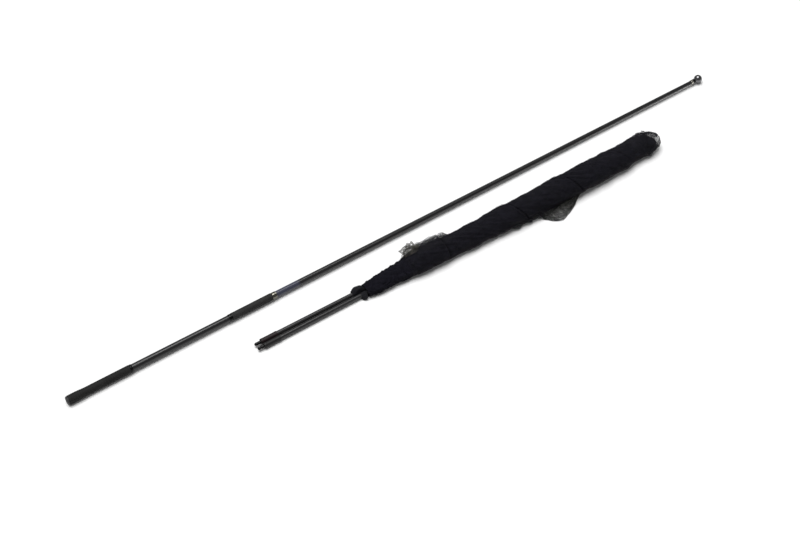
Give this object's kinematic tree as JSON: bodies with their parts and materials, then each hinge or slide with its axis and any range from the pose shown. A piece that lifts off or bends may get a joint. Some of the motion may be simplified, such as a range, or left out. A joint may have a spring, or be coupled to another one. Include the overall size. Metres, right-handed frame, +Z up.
{
  "type": "landing net",
  "caption": "Packed-down fishing landing net: a slim carbon handle with grips and a ball-headed screw plug, beside a mesh net wound round the arms that draw out of it.",
  "frame": {"origin": "on the surface that the object lies on, under the middle of its bounding box", "axes": "+X along the handle from its butt to its tip, +Y from the net head towards the handle, +Z up"},
  "size_m": [1.8, 0.195, 0.0502],
  "materials": {
    "carbon": "gloss",
    "grip": "matte",
    "bright_metal": "polished",
    "black_metal": "satin",
    "gunmetal": "polished",
    "rubber": "satin",
    "sleeve": "matte",
    "net": "matte",
    "pocket": "matte",
    "moulded": "satin"
  },
  "bodies": {
    "handle": {"handle_blank": "carbon", "butt_cap": "rubber", "butt_grip": "grip", "butt_winding_check": "black_metal", "mid_grip": "grip", "mid_check_lower": "bright_metal", "mid_check_upper": "bright_metal", "tip_collar": "bright_metal", "thread_insert": "black_metal"},
    "plug_seal": {"sealing_washer": "rubber"},
    "ball_plug": {"ball_head": "gunmetal", "plug_stud": "bright_metal"},
    "net_head": {"net_roll": "net", "far_arm_pocket": "pocket", "near_arm_pocket": "pocket", "spreader_block": "moulded", "spreader_stud": "bright_metal"},
    "far_arm": {"far_arm_blank": "carbon", "far_arm_sleeve": "sleeve", "far_arm_spigot": "black_metal", "far_arm_tip_cap": "rubber"},
    "near_arm": {"near_arm_blank": "carbon", "near_arm_sleeve": "sleeve", "near_arm_spigot": "black_metal", "near_arm_tip_cap": "rubber"}
  },
  "joints": [
    {"name": "plug_withdraw", "type": "slide", "parent": "handle", "child": "plug_seal", "axis": [1, 0, 0], "range_m": [0, 0.0114]},
    {"name": "plug_turn", "type": "hinge", "parent": "plug_seal", "child": "ball_plug", "pos_m": [0.87813, 0.08672, 0.0108], "axis": [1, 0, 0], "range_deg": [0, 5130]},
    {"name": "head_lift", "type": "slide", "parent": "handle", "child": "net_head", "axis": [0, 0, 1], "range_m": [0, 0.3]},
    {"name": "far_arm_draw", "type": "slide", "parent": "net_head", "child": "far_arm", "axis": [-1, 0.0062, 0], "range_m": [0, 0.8]},
    {"name": "near_arm_draw", "type": "slide", "parent": "net_head", "child": "near_arm", "axis": [-1, 0.0025, 0], "range_m": [0, 0.8]}
  ],
  "couplings": [
    {"joint": "plug_turn", "follows": "plug_withdraw", "rad_per_m": 7854}
  ]
}
